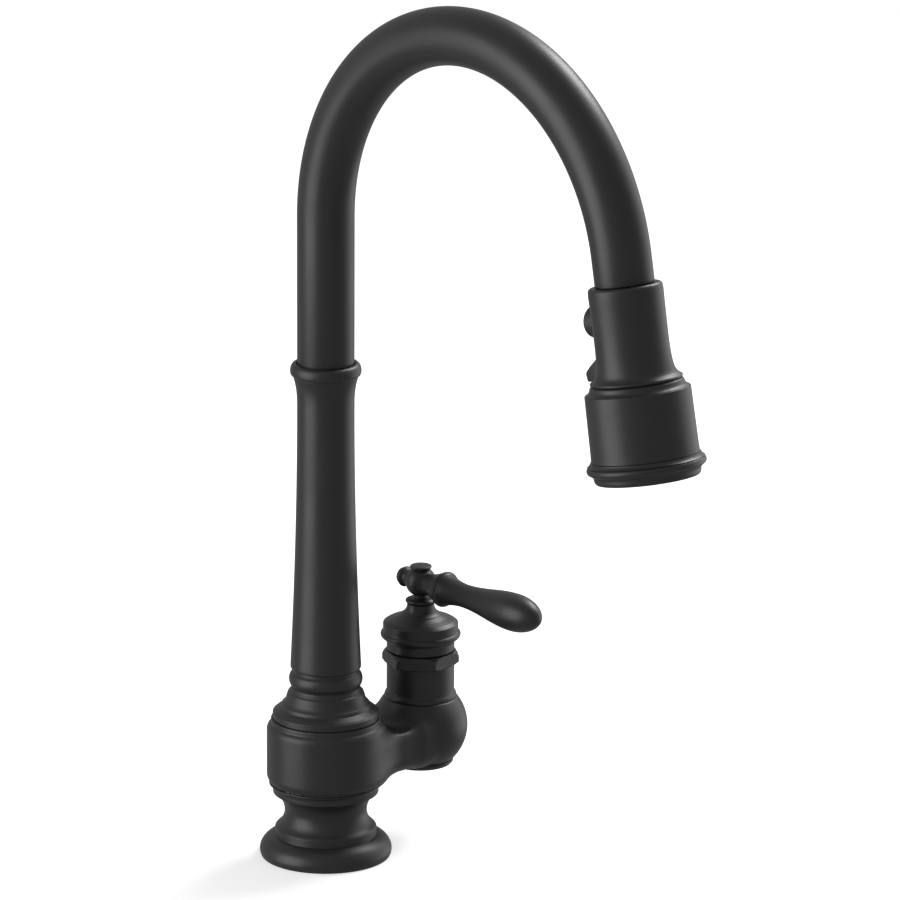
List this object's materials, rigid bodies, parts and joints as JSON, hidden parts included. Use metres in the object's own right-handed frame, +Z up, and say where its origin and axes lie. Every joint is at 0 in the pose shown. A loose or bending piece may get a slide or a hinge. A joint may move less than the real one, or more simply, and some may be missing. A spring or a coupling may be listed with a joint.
{
  "type": "pull-down kitchen faucet",
  "caption": "Single-hole kitchen faucet with a turned pedestal and column, a swivelling gooseneck spout, a pull-down spray head and a side lever on a ball-shaped valve.",
  "frame": {"origin": "middle of the pedestal's underside, on the column's axis, at the top of the deck", "axes": "+Z up along the column, the spout reaches along -Y towards the user, the valve and lever stand on the +X side"},
  "size_m": [0.1205, 0.2915, 0.5591],
  "materials": {
    "black_finish": "matte black coating",
    "black_plastic": "moulded, satin",
    "rubber": "matte",
    "brass": "machined",
    "steel": "machined",
    "white_plastic": "moulded",
    "ceramic": "polished alumina"
  },
  "bodies": {
    "base": {"deck_gasket": "rubber", "pedestal": "black_finish", "body_shell": "black_finish", "shoulder_cap": "black_finish", "bead_ring": "black_finish", "column_sleeve": "black_finish", "column_nipple": "brass", "upper_bush": "white_plastic", "lower_bush": "white_plastic", "spout_washer": "white_plastic", "mounting_shank": "brass", "deck_washer": "rubber", "steel_washer": "steel", "mounting_nut": "brass", "nut_screws": "steel", "hot_inlet_pipe": "brass", "cold_inlet_pipe": "brass", "outlet_pipe": "brass", "line_couplings": "brass", "spray_hose_lower": "rubber", "base_plug": "black_finish", "valve_sleeve": "black_finish", "cartridge_body": "white_plastic", "cartridge_cap": "brass", "cartridge_seals": "rubber", "fixed_disc": "ceramic", "retaining_nut": "black_finish", "bonnet": "black_finish"},
    "spout": {"spout_tube": "black_finish", "spout_nose": "brass", "spout_clip": "steel", "dock_socket": "black_plastic", "dock_magnet": "steel", "spray_hose_upper": "rubber"},
    "hose_end": {"hose_ferrule": "steel", "hose_swivel": "brass", "swivel_seals": "rubber"},
    "spray_head": {"grip_shell": "black_finish", "docking_plug": "black_plastic", "plug_magnet": "steel", "head_core": "white_plastic", "check_valve": "black_plastic", "cove_band": "black_finish", "skirt": "black_finish", "spray_housing": "black_plastic", "trim_ring": "black_finish", "spray_plate": "black_plastic", "spray_nozzles": "rubber", "aerator": "black_plastic", "button_spring": "steel"},
    "button": {"button": "black_finish"},
    "thumb_tab": {"thumb_tab": "black_finish"},
    "spindle": {"spindle": "black_finish"},
    "flow_plunger": {"flow_plunger": "steel"},
    "lever": {"hub_ball": "black_finish", "hub_cap": "black_finish", "hub_finial": "black_finish", "lever_handle": "black_finish", "pivot_pin": "steel", "set_screw": "steel"}
  },
  "joints": [
    {"name": "spout_swivel", "type": "hinge", "parent": "base", "child": "spout", "pos_m": [0, 0, 0.25], "axis": [0, 0, 1], "continuous": true},
    {"name": "head_pull", "type": "slide", "parent": "spout", "child": "hose_end", "axis": [0, -0.1908, -0.9816], "range_m": [0, 0.235]},
    {"name": "head_spin", "type": "hinge", "parent": "hose_end", "child": "spray_head", "pos_m": [0, -0.21388, 0.33759], "axis": [0, -0.1908, -0.9816], "continuous": true},
    {"name": "button_press", "type": "slide", "parent": "spray_head", "child": "button", "axis": [0, -0.9816, 0.1908], "range_m": [0, 0.002], "stiffness_N_per_m": 800, "springref_m": -0.002},
    {"name": "tab_press", "type": "slide", "parent": "spray_head", "child": "thumb_tab", "axis": [0, -0.9816, 0.1908], "range_m": [0, 0.0015], "stiffness_N_per_m": 800, "springref_m": -0.002},
    {"name": "temperature_turn", "type": "hinge", "parent": "base", "child": "spindle", "pos_m": [0.0633, 0, 0.12], "axis": [0, 0, 1], "range_deg": [-45, 45]},
    {"name": "lever_lift", "type": "hinge", "parent": "spindle", "child": "lever", "pos_m": [0.0633, 0, 0.1302], "axis": [-1, 0, 0], "range_deg": [0, 22]},
    {"name": "plunger_lift", "type": "slide", "parent": "spindle", "child": "flow_plunger", "axis": [0, 0, 1], "range_m": [0, 0.002]}
  ],
  "couplings": [
    {"joint": "plunger_lift", "follows": "lever_lift", "m_per_rad": 0.0052}
  ]
}
